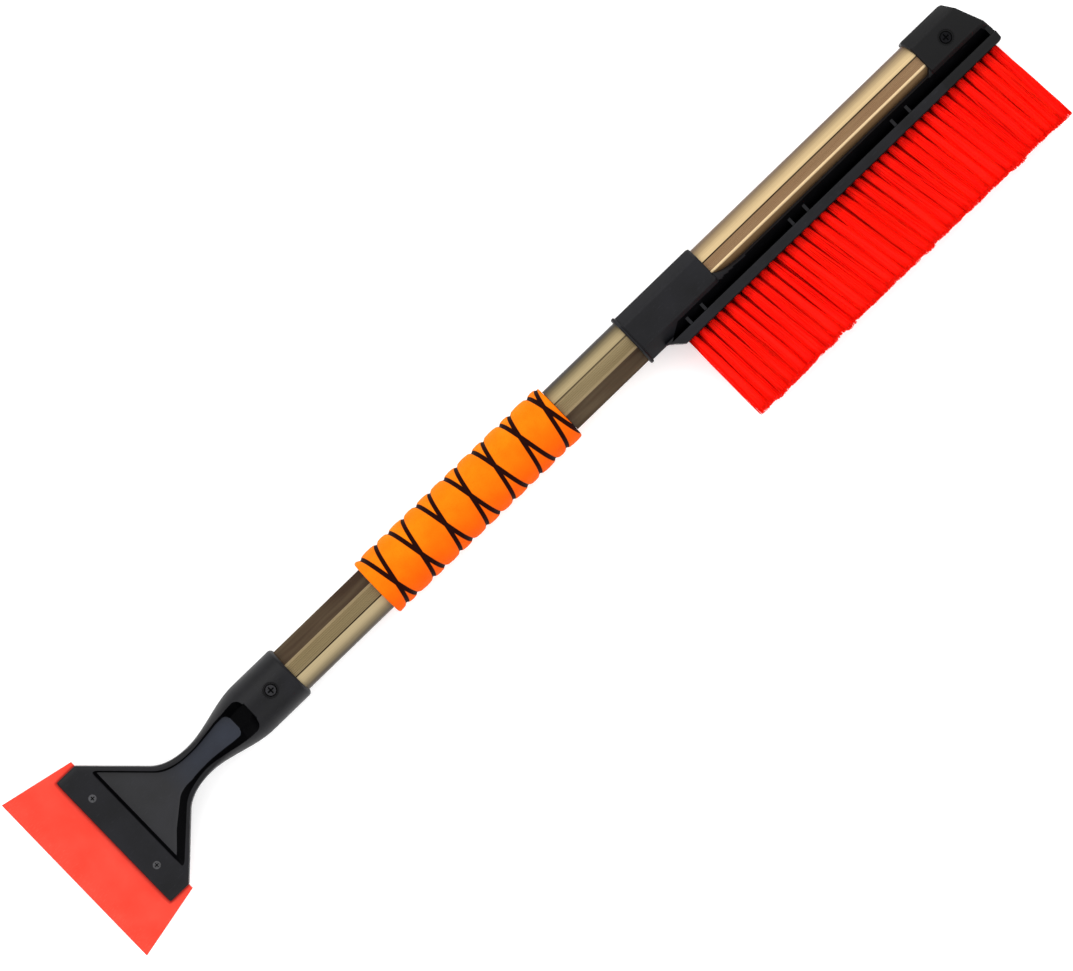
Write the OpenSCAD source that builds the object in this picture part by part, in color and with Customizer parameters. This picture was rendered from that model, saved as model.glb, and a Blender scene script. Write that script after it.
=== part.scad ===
// Snow brush with a detachable ice scraper: one round handle in two lengths.
// The tool lies flat. +X runs from the scraper to the brush, +Z is up, and the bristles point to -Y.
// Lengths along the tool are counted from the scraping edge, and the handle's axis is y = 0, z = 0,
// until to_frame() moves each piece to the origin, below the middle of the whole tool.

/* [Blade] */
// Width of the scraping edge
blade_w = 114.5; // [104:0.5:124]
// Width across the blade's rear corners
blade_back_w = 96; // [92:0.5:102]
// Length of blade in front of the holder
blade_reach = 30.1; // [24:0.1:40]
// Thickness of the blade
blade_t = 3.6; // [2.6:0.1:4.4]

/* [Scraper head] */
// Length from the holder's front edge to the socket's mouth
head_l = 135.2; // [128:0.1:150]
// Width of the holder plate
plate_w = 90.2; // [86:0.1:91]
// Thickness of the holder plate
plate_t = 12.6; // [11:0.1:15]
// Width of the neck at its narrowest
neck_w = 19; // [17:0.1:22]
// Outside diameter of the socket that holds the tube
socket_d = 33.3; // [32:0.1:36]
// Depth of the sunken panel in each face of the plate
panel_depth = 2.2; // [1:0.1:3]

/* [Handle] */
// Outside diameter of both tubes
tube_d = 28.2; // [27.6:0.1:28.6]
// Inside diameter of both tubes, where they are round
tube_bore_d = 25.4; // [24.6:0.1:25.6]
// Width of the ribbed flat on the front and the back of a tube
flat_w = 8.2; // [6:0.1:9]
// Outside diameter of the brush tube where it is drawn down, past the collar
slim_tube_d = 26.8; // [26:0.1:27.2]
// Width of its ribbed flats there
slim_flat_w = 6.8; // [5:0.1:7.4]
// Bare tube between the socket and the grip
lower_bare_l = 65.1; // [40:0.1:90]
// Length of the foam grip
grip_l = 139.4; // [110:0.1:160]
// Diameter of the foam grip over its bulges
grip_d = 36.9; // [34:0.1:40]
// Bare tube between the grip and the brush collar
upper_bare_l = 54.6; // [45:0.1:90]

/* [Coupler] */
// Length of the spigot inside the brush tube
spigot_reach = 65; // [50:1:90]
// Length of the spigot that stays in the scraper tube
spigot_root = 70; // [50:1:90]
// Distance from the joint between the tubes to the snap button
button_x = 25; // [20:1:30]
// Diameter of the snap button
button_d = 8; // [6:0.1:9]

/* [Brush head] */
// Length of the collar
collar_l = 57.4; // [45:0.1:70]
// Length of tube seen between the collar and the cap
window_l = 162.1; // [120:0.1:200]
// Length of the cap
cap_l = 41.5; // [38:0.1:50]
// Width of the collar and the cap across their flats
collar_w = 30.6; // [30.4:0.1:32]
// Width of the bristle strip
strip_w = 24; // [22:0.5:26]

/* [Bristles] */
// Tufts in a full row
tufts = 36; // [20:1:40]
// Length of the bristles below the strip
bristle_l = 55.9; // [40:0.1:65]

/* [Hidden] */
$fn = 64;

BLACK = [0.17, 0.17, 0.18];
GOLD = [0.62, 0.52, 0.38];
STEEL = [0.72, 0.72, 0.74];
CORAL = [1.0, 0.33, 0.25];
RED = [0.98, 0.11, 0.04];
ORANGE = [0.98, 0.54, 0.06];

// Stations along the tool, from the scraping edge
plate_x = blade_reach;
socket_x = plate_x + head_l;
grip_x = socket_x + lower_bare_l;
joint_x = grip_x + grip_l;
collar_x = joint_x + upper_bare_l;
window_x = collar_x + collar_l;
cap_x = window_x + window_l;
tool_l = cap_x + cap_l;

// Gaps: between two pieces of one body, a sliding fit across a joint, and faces that stay apart
seat_gap = 0.05;
slide_gap = 0.08;
face_gap = 0.3;
// How far a cutting shape runs past the face it cuts
past = 1;

// Blade
blade_back_x = plate_x + 13.6;
tongue_x = plate_x + 22;
tongue_w = plate_w - 20;
edge_t = 1;
bevel_l = 8;

// Scraper head
plate_side_l = 15.3;
shoulder_x = plate_x + 44.5;
shoulder_w = 32.8;
waist_x = plate_x + 65;
barrel_x = plate_x + 106;
tube_seat_x = plate_x + 107.5;
panel_x = plate_x + 18.5;
panel_rim = 5;
panel_floor_end_x = plate_x + 92;
panel_end_x = plate_x + 103;
curve_steps = 12;

// Tubes
tube_r = tube_d / 2;
tube_wall = (tube_d - tube_bore_d) / 2;
facet_half = 33;
facet_wall = 1;
flat_ribs = 8;
rib_depth = 0.25;
line_w = 0.7;
bead_d = 0.6;
bead_in = 0.5;
drawn_x = window_x - 12;
draw_overlap = 3;

// Grip
grip_r = grip_d / 2;
bulges = 7;
bulge_steps = 8;
bulge_depth = 1.1;
grip_bore_r = tube_r + seat_gap;

// Coupler
spigot_bore_r = 9.3;
spigot_chamfer = 2;
pin_x = joint_x - 40;
pin_r = 2;
clip_x = joint_x + button_x;
clip_t = 0.6;
clip_w = 7;
clip_leg_z = 8.5;
clip_leg_l = 24;
clip_tail = 7;
button_proud = 2.2;

// Screws, and the hollow of the plugs that two of them bite into
plug_bore_r = 6;
blade_screw_x = plate_x + 8.7;
blade_screw_y = 25.3;
blade_screw_head_d = 4.5;
blade_screw_d = 2.6;
socket_screw_x = socket_x - 14.7;
cap_screw_x = cap_x + 18.9;
tube_screw_head_d = 7;
tube_screw_d = 4;
counterbore_d = 9.3;
cross_w = 0.9;

// Brush head
collar_r = collar_w / 2;
collar_flat_top = 8.7;
collar_flat_bottom = -7.5;
collar_bevel = collar_r - collar_flat_top;
lip_l = 1.9;
lip_out = 1.1;
cradle_t = 1.7;
cradle_top_y = -9.7;
strip_top_y = -15.9;
strip_face_y = -22;
strip_x = collar_x + 15.1;
strip_slant = 6;
web_t = 7;
end_wall_l = 3.8;
cap_wall_l = 13.5;
cap_slant_x = tool_l - 9.9;
cap_corner_y = -12.5;
rib_t = 1.6;
rib_gap = 10.9;
rib_pairs = 3;
first_rib_x = collar_x + 30.6;
rib_pair_pitch = 77.6;

// Bristles
row_count = 4;
row_pitch = 6;
row_t = 5.2;
root_t = 3.6;
root_l = 4;
first_tuft_x = collar_x + 25.6;
last_tuft_x = tool_l - 7.6;
tuft_pitch = (last_tuft_x - first_tuft_x) / (tufts - 1);
tuft_base_w = 0.68 * tuft_pitch;
tuft_tip_w = 0.9 * tuft_pitch;
end_lean = 2;
middle_lean = 9;

// The whole tool's middle across Y, and its axis above the surface it lies on
bristle_tip_y = strip_face_y - bristle_l;
middle_y = (blade_w / 2 + bristle_tip_y) / 2;
axis_z = grip_r;

// ---------- shared shapes ----------

// Moves a piece from the handle's axis to the tool's own origin.
module to_frame() {
    translate([-tool_l / 2, -middle_y, axis_z])
        children();
}

// Extrudes a Y-Z section along X, from x0 to x1.
module along_x(x0, x1) {
    translate([x0, 0, 0])
        rotate([90, 0, 90])
            linear_extrude(x1 - x0)
                children();
}

// Extrudes an X-Z section across Y, half to each side.
module across_y(width) {
    rotate([90, 0, 0])
        linear_extrude(width, center = true)
            children();
}

// A round bar on the handle's axis, from x0 to x1.
module bar_x(radius, x0, x1) {
    translate([x0, 0, 0])
        rotate([0, 90, 0])
            cylinder(r = radius, h = x1 - x0);
}

// A body of revolution about the handle's axis, from a list of [radius, x] points.
module turned(points) {
    mirror([0, 0, 1])
        rotate([0, 90, 0])
            rotate_extrude()
                polygon(points);
}

function smooth(t) = t * t * (3 - 2 * t);
function clamp01(t) = max(0, min(1, t));
function ease(x, x0, x1) = smooth(clamp01((x - x0) / (x1 - x0)));
function bend(a, b, c, n) = [
    for (i = [0:n]) let (t = i / n) pow(1 - t, 2) * a + 2 * t * (1 - t) * b + t * t * c
];
function mirrored(points) = [for (i = [len(points) - 1:-1:0]) [points[i][0], -points[i][1]]];

// A cross-recessed screw: countersunk pan head, straight shank and pointed end, head up at z = 0.
module screw(head_d, shank_d, length) {
    head_h = head_d * 0.32;
    difference() {
        union() {
            translate([0, 0, -head_h])
                cylinder(d1 = shank_d, d2 = head_d, h = head_h);
            translate([0, 0, shank_d / 2 - length])
                cylinder(d = shank_d, h = length - shank_d / 2 - head_h);
            translate([0, 0, -length])
                cylinder(d1 = shank_d / 3, d2 = shank_d, h = shank_d / 2);
        }
        for (turn = [0, 90])
            rotate(turn)
                cube([head_d * 0.62, cross_w * head_d / 7, head_h], center = true);
    }
}

// The hole that a screw() fills, with its clearance.
module screw_hole(head_d, shank_d, length) {
    head_h = head_d * 0.32;
    translate([0, 0, -head_h])
        cylinder(d1 = shank_d + 2 * seat_gap, d2 = head_d + 2 * seat_gap, h = head_h);
    translate([0, 0, -length])
        cylinder(d = shank_d + 2 * seat_gap, h = length);
}

// ---------- scraper half ----------

module blade_outline(grow) {
    polygon([
        [0, blade_w / 2],
        [blade_back_x + grow, blade_back_w / 2 + grow],
        [blade_back_x + grow, tongue_w / 2 + grow],
        [tongue_x + grow, tongue_w / 2 + grow],
        [tongue_x + grow, -tongue_w / 2 - grow],
        [blade_back_x + grow, -tongue_w / 2 - grow],
        [blade_back_x + grow, -blade_back_w / 2 - grow],
        [0, -blade_w / 2]
    ]);
}

module scraper_blade() {
    color(CORAL)
        to_frame()
            difference() {
                linear_extrude(blade_t, center = true)
                    blade_outline(0);
                // The scraping edge is bevelled from below.
                across_y(blade_w + 2 * past)
                    polygon([
                        [-past, -blade_t / 2 - past],
                        [-past, blade_t / 2 - edge_t],
                        [0, blade_t / 2 - edge_t],
                        [bevel_l, -blade_t / 2],
                        [bevel_l, -blade_t / 2 - past]
                    ]);
                for (side = [-1, 1])
                    translate([blade_screw_x, side * blade_screw_y, 0])
                        cylinder(d = blade_screw_d + 2 * seat_gap, h = blade_t + past, center = true);
            }
}

// Half the head's width at the station x, between the waist and the socket.
function neck_r(x) = neck_w / 2 + (socket_d - neck_w) / 2 * ease(x, waist_x, barrel_x + 4);

// Half the head's thickness at the station x.
function head_z(x) = plate_t / 2 + (socket_d - plate_t) / 2 * ease(x, shoulder_x, barrel_x + 4);

// The plate, its shoulders and the neck as far as the waist, seen from above.
module plate_outline(inset, x0, x1) {
    half = concat(
        [[x0, plate_w / 2 - inset], [plate_x + plate_side_l + inset * 0.4, plate_w / 2 - inset]],
        bend(
            [shoulder_x, shoulder_w / 2 - inset],
            [shoulder_x + 7, neck_w / 2 - inset],
            [waist_x, neck_w / 2 - inset],
            curve_steps
        ),
        [[x1, neck_w / 2 - inset]]
    );
    polygon(concat(half, mirrored(half)));
}

// The sunken panel, seen from above: a triangle between the shoulders that runs down the neck.
module panel_outline() {
    inset = panel_rim * 1.3;
    neck_inset = 3.2;
    half = concat(
        [[panel_x, plate_w / 2 - inset - 5], [shoulder_x, shoulder_w / 2 - inset]],
        [for (i = [0:curve_steps])
            let (x = waist_x - 8 + (panel_end_x - waist_x + 8) * i / curve_steps)
            [x, neck_r(x) - neck_inset - 2.2 * ease(x, panel_floor_end_x, panel_end_x)]]
    );
    polygon(concat(half, mirrored(half)));
}

module head_side_profile() {
    top = concat(
        [[plate_x, plate_t / 2 - 1], [plate_x + 1, plate_t / 2]],
        [for (i = [0:2 * curve_steps])
            let (x = shoulder_x + (socket_x - shoulder_x) * i / (2 * curve_steps))
            [x, head_z(x)]]
    );
    polygon(concat(top, mirrored(top)));
}

module panel_side_profile() {
    floor_z = plate_t / 2 - panel_depth;
    polygon([
        [panel_x - past, floor_z],
        [panel_floor_end_x, floor_z],
        [panel_end_x, socket_d / 2 + past],
        [panel_x - past, socket_d / 2 + past]
    ]);
}

module scraper_head() {
    neck_steps = 2 * curve_steps;
    color(BLACK)
        to_frame()
            difference() {
                intersection() {
                    union() {
                        linear_extrude(socket_d, center = true)
                            plate_outline(0, plate_x, waist_x);
                        turned(concat(
                            [[0, waist_x - 6], [neck_w / 2, waist_x - 6]],
                            [for (i = [0:neck_steps])
                                let (x = waist_x + (barrel_x + 4 - waist_x) * i / neck_steps)
                                [neck_r(x), x]],
                            [[socket_d / 2, socket_x - 1.2], [socket_d / 2 - 1.2, socket_x], [0, socket_x]]
                        ));
                    }
                    across_y(plate_w + past)
                        head_side_profile();
                }
                // Slot for the blade, open at the front and at the sides
                linear_extrude(blade_t + 2 * seat_gap, center = true)
                    blade_outline(seat_gap);
                // Sunken panel in the front and the back
                for (side = [0, 1])
                    mirror([0, 0, side])
                        intersection() {
                            linear_extrude(socket_d)
                                panel_outline();
                            across_y(plate_w)
                                panel_side_profile();
                        }
                bar_x(tube_r + seat_gap, tube_seat_x, socket_x + past);
                for (side = [-1, 1])
                    translate([blade_screw_x, side * blade_screw_y, plate_t / 2])
                        screw_hole(blade_screw_head_d, blade_screw_d, plate_t - 2);
                translate([socket_screw_x, 0, tube_r + 1])
                    cylinder(d = counterbore_d, h = socket_d);
                translate([socket_screw_x, 0, 0])
                    cylinder(d = tube_screw_d + 2 * seat_gap, h = socket_d);
            }
}

module blade_screw(side) {
    color(STEEL)
        to_frame()
            translate([blade_screw_x, side * blade_screw_y, plate_t / 2])
                screw(blade_screw_head_d, blade_screw_d, plate_t - 2);
}

module blade_screw_left() {
    blade_screw(1);
}

module blade_screw_right() {
    blade_screw(-1);
}

// A pan-head screw through a housing and a tube wall, standing on the housing's counterbore floor.
module tube_screw(x, seat_z) {
    head_h = 1.4;
    length = 9;
    translate([x, 0, seat_z])
        difference() {
            union() {
                cylinder(d = tube_screw_head_d, h = head_h * 0.6);
                translate([0, 0, head_h * 0.6])
                    cylinder(d1 = tube_screw_head_d, d2 = tube_screw_head_d * 0.8, h = head_h * 0.4);
                translate([0, 0, -length])
                    cylinder(d = tube_screw_d, h = length);
            }
            for (turn = [0, 90])
                translate([0, 0, head_h])
                    rotate(turn)
                        cube([tube_screw_head_d * 0.6, cross_w, head_h], center = true);
        }
}

module socket_screw() {
    color(STEEL)
        to_frame()
            tube_screw(socket_screw_x, tube_r + 1);
}

// A moulded plug that backs a tube wall where a screw bites. turned_over is 1 in the scraper tube.
module plug(x0, x1, screw_x, turned_over, d, w) {
    difference() {
        along_x(x0, x1)
            mirror([turned_over, 0])
                bore_section(seat_gap, d, w);
        bar_x(plug_bore_r, x0 + 3, x1 + past);
        translate([screw_x, 0, 0])
            cylinder(d = tube_screw_d + 2 * seat_gap, h = tube_d);
    }
}

module scraper_plug() {
    color(BLACK)
        to_frame()
            plug(tube_seat_x + 1, socket_x - 3, socket_screw_x, 1, tube_d, flat_w);
}

// How far a flat of width w lies from the axis of a tube of diameter d
function flat_z(d, w) = sqrt(pow(d / 2, 2) - pow(w / 2, 2));

// Cuts a plain facet beside each ribbed flat. drop is how far it lies below the tube's own facet.
module facets(d, w, drop) {
    for (turn = [0, 180])
        rotate(turn + asin(w / d) + facet_half)
            translate([-d, d / 2 * cos(facet_half) - drop])
                square([2 * d, d]);
}

// The tube's inside in section, or a piece that fits it with the given gap all round
module bore_section(gap, d = tube_d, w = flat_w) {
    difference() {
        circle(r = d / 2 - tube_wall - gap);
        facets(d, w, facet_wall + gap);
    }
}

// The extruded tube in section: round, with a ribbed flat on the front and one on the back.
// One edge of each flat has a groove, and the other has a bead and then a plain facet.
module tube_section(d = tube_d, w = flat_w) {
    rib_pitch = w / flat_ribs;
    top = flat_z(d, w);
    difference() {
        circle(d = d);
        bore_section(0, d, w);
        facets(d, w, 0);
        for (turn = [0, 180])
            rotate(turn) {
                translate([-w / 2, top])
                    square([w, d]);
                translate([w / 2 + line_w / 2, top])
                    square([line_w, line_w * 1.2], center = true);
                for (i = [0:flat_ribs - 1])
                    translate([(i + 0.5) * rib_pitch - w / 2, top])
                        polygon([[-rib_pitch / 2.4, 0.01], [0, -rib_depth], [rib_pitch / 2.4, 0.01]]);
            }
    }
    for (turn = [0, 180])
        rotate(turn)
            translate([bead_in - w / 2, flat_z(d - bead_d, w - 2 * bead_in)])
                circle(d = bead_d, $fn = 16);
}

module scraper_tube() {
    color(GOLD)
        to_frame()
            difference() {
                along_x(tube_seat_x + seat_gap, joint_x)
                    mirror([1, 0])
                        tube_section();
                translate([socket_screw_x, 0, 0])
                    cylinder(d = tube_screw_d + 2 * seat_gap, h = tube_d);
                translate([pin_x, 0, 0])
                    cylinder(r = pin_r + seat_gap, h = tube_d + past, center = true);
            }
}

// Foam sleeve with shallow bulges, one for each crossing of its two wound grooves
module foam_grip() {
    steps = bulges * bulge_steps;
    color(ORANGE)
        to_frame()
            turned(concat(
                [[grip_bore_r, grip_x]],
                [for (i = [0:steps])
                    [grip_r - bulge_depth * pow(cos(180 * i / bulge_steps), 8), grip_x + grip_l * i / steps]],
                [[grip_bore_r, joint_x]]
            ));
}

// Hollow plug that joins the two tubes, pinned in the scraper tube and sliding in the brush tube.
// Its two ends follow the two tubes' insides, one of which is turned over.
module coupler_spigot() {
    x0 = joint_x - spigot_root;
    x1 = joint_x + spigot_reach;
    tip_r = tube_bore_d / 2 - slide_gap;
    color(BLACK)
        to_frame()
            difference() {
                union() {
                    along_x(x0, joint_x)
                        mirror([1, 0])
                            bore_section(seat_gap);
                    intersection() {
                        along_x(joint_x, x1)
                            bore_section(slide_gap);
                        turned([
                            [0, joint_x],
                            [tip_r, joint_x],
                            [tip_r, x1 - spigot_chamfer],
                            [tip_r - spigot_chamfer, x1],
                            [0, x1]
                        ]);
                    }
                }
                bar_x(spigot_bore_r, x0 - past, x1 + past);
                translate([clip_x, 0, -tube_r])
                    cylinder(d = button_d + 2 * slide_gap, h = tube_r);
                translate([pin_x, 0, 0])
                    cylinder(r = pin_r + seat_gap, h = tube_d + past, center = true);
            }
}

module coupler_pin() {
    color(STEEL)
        to_frame()
            translate([pin_x, 0, 0])
                cylinder(r = pin_r, h = 2 * (flat_z(tube_d, flat_w) - rib_depth), center = true);
}

// Bent spring strip inside the spigot: one leg carries the button, the other bears on the far wall.
module snap_spring() {
    bend_x = clip_x + clip_leg_l - clip_leg_z;
    color(STEEL)
        to_frame()
            across_y(clip_w) {
                difference() {
                    translate([bend_x, 0])
                        circle(r = clip_leg_z);
                    translate([bend_x, 0])
                        circle(r = clip_leg_z - clip_t);
                    translate([bend_x - tube_d, -tube_r])
                        square([tube_d, tube_d]);
                }
                for (z = [-clip_leg_z, clip_leg_z - clip_t])
                    translate([clip_x - clip_tail, z])
                        square([bend_x - clip_x + clip_tail, clip_t]);
            }
}

// Domed button that locks the spigot in the brush tube
module snap_button() {
    dome_h = 1.5;
    base_z = clip_leg_z + 0.05;
    top_z = flat_z(tube_d, flat_w) + button_proud;
    color(STEEL)
        to_frame()
            translate([clip_x, 0, 0])
                mirror([0, 0, 1])
                    rotate_extrude()
                        polygon(concat(
                            [[0, base_z], [button_d / 2, base_z]],
                            bend(
                                [button_d / 2, top_z - dome_h],
                                [button_d / 2, top_z],
                                [0, top_z],
                                curve_steps
                            )
                        ));
}

// ---------- brush half ----------

// The brush tube, full size as far as the collar and drawn down inside it
module brush_tube() {
    color(GOLD)
        to_frame()
            difference() {
                union() {
                    along_x(joint_x + face_gap, drawn_x)
                        tube_section();
                    along_x(drawn_x - draw_overlap, tool_l - cap_wall_l - seat_gap)
                        tube_section(slim_tube_d, slim_flat_w);
                }
                translate([clip_x, 0, -tube_d])
                    cylinder(d = button_d + 2 * slide_gap, h = tube_d);
                translate([cap_screw_x, 0, 0])
                    cylinder(d = tube_screw_d + 2 * seat_gap, h = tube_d);
            }
}

module brush_plug() {
    color(BLACK)
        to_frame()
            plug(cap_screw_x - 12, tool_l - cap_wall_l - 2, cap_screw_x, 0, slim_tube_d, slim_flat_w);
}

// Section of the collar and the cap: a square with bevelled corners
module collar_section(out) {
    r = collar_r + out;
    bevel_low = collar_r + collar_flat_bottom;
    polygon([
        [r, r - collar_bevel],
        [r - collar_bevel, r],
        [bevel_low - r, r],
        [-r, r - bevel_low],
        [-r, bevel_low - r],
        [bevel_low - r, -r],
        [r - collar_bevel, -r],
        [r, collar_bevel - r]
    ]);
}

// The cap from above, with its slanted end
module cap_outline() {
    polygon(concat(
        [[cap_x, strip_face_y], [cap_x, collar_r + past]],
        bend(
            [cap_slant_x - 3, collar_r + past],
            [cap_slant_x, collar_r + past],
            [cap_slant_x + 2, collar_r - 4],
            curve_steps
        ),
        bend([tool_l - 0.8, cap_corner_y + 2.4], [tool_l, cap_corner_y], [tool_l, cap_corner_y - 2], 4),
        [[tool_l, strip_face_y]]
    ));
}

// The thin trough that the tube lies in between the collar and the cap
module cradle() {
    intersection() {
        bar_x(tube_r + cradle_t, collar_x + collar_l - past, cap_x + past);
        translate([collar_x, -tube_d, -tube_d])
            cube([tool_l - collar_x, tube_d + cradle_top_y, 2 * tube_d]);
    }
}

// The rail that carries the bristles, with the web that joins it to the trough
module rail() {
    linear_extrude(strip_w, center = true)
        polygon([
            [strip_x, strip_top_y],
            [strip_x + strip_slant, strip_face_y],
            [tool_l - 1.5, strip_face_y],
            [tool_l - 0.5, strip_face_y + 1],
            [tool_l - 0.5, strip_top_y]
        ]);
    linear_extrude(web_t, center = true)
        polygon([
            [strip_x, cradle_top_y],
            [strip_x, strip_top_y - past],
            [tool_l - 1.5, strip_top_y - past],
            [tool_l - 1.5, cradle_top_y]
        ]);
    translate([tool_l - end_wall_l, strip_face_y + 2, -strip_w / 2])
        cube([end_wall_l, cap_corner_y + 3 - strip_face_y, strip_w]);
    for (pair = [0:rib_pairs - 1])
        for (offset = [0, rib_gap])
            translate([first_rib_x + pair * rib_pair_pitch + offset - rib_t / 2, strip_top_y - past, -strip_w / 2 + 1])
                cube([rib_t, cradle_top_y - strip_top_y, strip_w - 2]);
}

module brush_head() {
    color(BLACK)
        to_frame()
            difference() {
                union() {
                    along_x(collar_x, window_x)
                        collar_section(0);
                    along_x(collar_x, collar_x + lip_l)
                        collar_section(lip_out);
                    intersection() {
                        along_x(cap_x, tool_l)
                            collar_section(0);
                        linear_extrude(tube_d * 2, center = true)
                            cap_outline();
                    }
                    cradle();
                    rail();
                }
                bar_x(tube_r + seat_gap, collar_x - past, drawn_x + seat_gap);
                bar_x(slim_tube_d / 2 + seat_gap, drawn_x, tool_l - cap_wall_l);
                for (row = [0:row_count - 1])
                    translate([first_tuft_x - tuft_base_w / 2, strip_face_y - past, row_z(row) - root_t / 2])
                        cube([last_tuft_x - first_tuft_x + tuft_base_w, root_l + past, root_t]);
                translate([cap_screw_x, 0, tube_r + 0.2])
                    cylinder(d = counterbore_d, h = tube_d);
                translate([cap_screw_x, 0, 0])
                    cylinder(d = tube_screw_d + 2 * seat_gap, h = tube_d);
            }
}

module cap_screw() {
    color(STEEL)
        to_frame()
            tube_screw(cap_screw_x, tube_r + 0.2);
}

// Rows are counted from the back of the brush to its front.
function row_z(row) = (row - (row_count - 1) / 2) * row_pitch;

// The rows fan out, so that the outer rows' tips are as far from the axis as the grip.
function row_fan(row) =
    let (outer_z = (row_count - 1) / 2 * row_pitch)
    asin((axis_z - row_t / 2 - outer_z) / bristle_l) * row_z(row) / outer_z;

// The tufts stand nearly straight at both ends of the row and lean towards the cap between them.
function tuft_lean(i) = end_lean + (middle_lean - end_lean) * pow(sin(180 * i / (tufts - 1)), 0.8);

// Every other row has one tuft fewer and stands in the gaps of its neighbours. The front row is a full one.
function row_shift(row) = (row_count - 1 - row) % 2 / 2;

module bristle_row(row) {
    shift = row_shift(row);
    color(RED)
        to_frame()
            translate([0, strip_face_y, row_z(row)]) {
                translate([first_tuft_x - tuft_base_w / 2, 0, -root_t / 2])
                    cube([last_tuft_x - first_tuft_x + tuft_base_w, root_l, root_t]);
                difference() {
                    rotate([-row_fan(row), 0, 0])
                        linear_extrude(row_t, center = true)
                            for (i = [shift:tufts - 1 - shift])
                                let (x = first_tuft_x + i * tuft_pitch, tip = x + tuft_lean(i))
                                    polygon([
                                        [x - tuft_base_w / 2, 1],
                                        [x + tuft_base_w / 2, 1],
                                        [tip + tuft_tip_w / 2, -bristle_l],
                                        [tip - tuft_tip_w / 2, -bristle_l]
                                    ]);
                    translate([first_tuft_x - tuft_pitch, 0, -tube_d])
                        cube([tool_l, tube_d, 2 * tube_d]);
                }
            }
}

module bristle_row_1() {
    bristle_row(0);
}

module bristle_row_2() {
    bristle_row(1);
}

module bristle_row_3() {
    bristle_row(2);
}

module bristle_row_4() {
    bristle_row(3);
}

scraper_blade();
scraper_head();
blade_screw_left();
blade_screw_right();
socket_screw();
scraper_plug();
scraper_tube();
foam_grip();
coupler_spigot();
coupler_pin();
snap_spring();
snap_button();
brush_tube();
brush_plug();
brush_head();
cap_screw();
bristle_row_1();
bristle_row_2();
bristle_row_3();
bristle_row_4();
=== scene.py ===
"""Looks for the snow brush with its detachable ice scraper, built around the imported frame.

Shapes are worked out in millimetres in the tool's own coordinates: x from the scraping edge towards
the brush's cap, y away from the bristles and z towards the viewer, both from the handle's axis.
make_mesh() puts them in the frame, in metres.
"""

import math
import random

import bmesh
import bpy
import numpy as np
from mathutils import Matrix, Vector


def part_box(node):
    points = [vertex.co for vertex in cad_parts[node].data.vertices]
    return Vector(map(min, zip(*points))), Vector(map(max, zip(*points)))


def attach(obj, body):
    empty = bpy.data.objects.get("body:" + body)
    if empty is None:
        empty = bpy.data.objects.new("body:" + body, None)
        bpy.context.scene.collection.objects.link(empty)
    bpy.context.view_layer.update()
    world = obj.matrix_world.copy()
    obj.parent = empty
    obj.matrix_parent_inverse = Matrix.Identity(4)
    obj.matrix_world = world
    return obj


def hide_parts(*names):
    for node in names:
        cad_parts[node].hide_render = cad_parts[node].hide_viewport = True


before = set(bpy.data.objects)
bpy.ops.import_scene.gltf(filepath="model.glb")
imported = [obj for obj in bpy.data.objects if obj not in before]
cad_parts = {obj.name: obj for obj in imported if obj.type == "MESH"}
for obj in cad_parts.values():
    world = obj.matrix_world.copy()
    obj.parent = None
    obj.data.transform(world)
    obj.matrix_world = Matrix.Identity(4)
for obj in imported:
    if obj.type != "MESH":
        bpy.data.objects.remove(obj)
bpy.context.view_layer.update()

MM = 0.001
BRUSH, SCRAPER = "brush_half", "scraper_half"

# ---------- places, from the frame ----------


def middle(node):
    low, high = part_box(node)
    return (low + high) / 2


ORIGIN = Vector((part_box("scraper_blade")[0].x, middle("scraper_tube").y, middle("scraper_tube").z))
TO_FRAME = Matrix.Translation(ORIGIN) @ Matrix.Scale(MM, 4)


def reach(node):
    """A node's first and last x, in tool millimetres."""
    low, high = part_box(node)
    return (low.x - ORIGIN.x) / MM, (high.x - ORIGIN.x) / MM


def size(node):
    low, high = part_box(node)
    return (high - low) / MM


PLATE_X, SOCKET_X = reach("scraper_head")
GRIP_X, JOINT_X = reach("foam_grip")
COLLAR_X, TOOL_X = reach("brush_head")
CAP_SCREW_X = (middle("cap_screw").x - ORIGIN.x) / MM
SOCKET_SCREW_X = (middle("socket_screw").x - ORIGIN.x) / MM
BLADE_SCREW_X = (middle("blade_screw_left").x - ORIGIN.x) / MM
BLADE_SCREW_Y = (middle("blade_screw_left").y - ORIGIN.y) / MM
GRIP_R = size("foam_grip").z / 2
SOCKET_R = size("scraper_head").z / 2
PLATE_HALF_W = size("scraper_head").y / 2
COLLAR_L, CAP_L = 57.4, 41.5
WINDOW_X, CAP_X = COLLAR_X + COLLAR_L, TOOL_X - CAP_L

# The brush tube is drawn down a little from inside the collar on. GAP is left around what a moulding holds.
TUBE_R, SLIM_TUBE_R = size("scraper_tube").y / 2, 13.4
SLIM_X = WINDOW_X - 12
GAP = 0.05
BORE_R, SLIM_BORE_R = TUBE_R + GAP, SLIM_TUBE_R + GAP

# ---------- small maths ----------


def ease(x, x0, x1):
    """Rises smoothly from 0 at x0 to 1 at x1."""
    t = np.clip((x - x0) / (x1 - x0), 0, 1)
    return t * t * (3 - 2 * t)


def bezier(a, b, c, steps):
    """Points of a curve from a to c, pulled toward b."""
    a, b, c = (np.array(point, float) for point in (a, b, c))
    t = np.linspace(0, 1, steps + 1)[:, None]
    return (1 - t) ** 2 * a + 2 * t * (1 - t) * b + t * t * c


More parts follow.
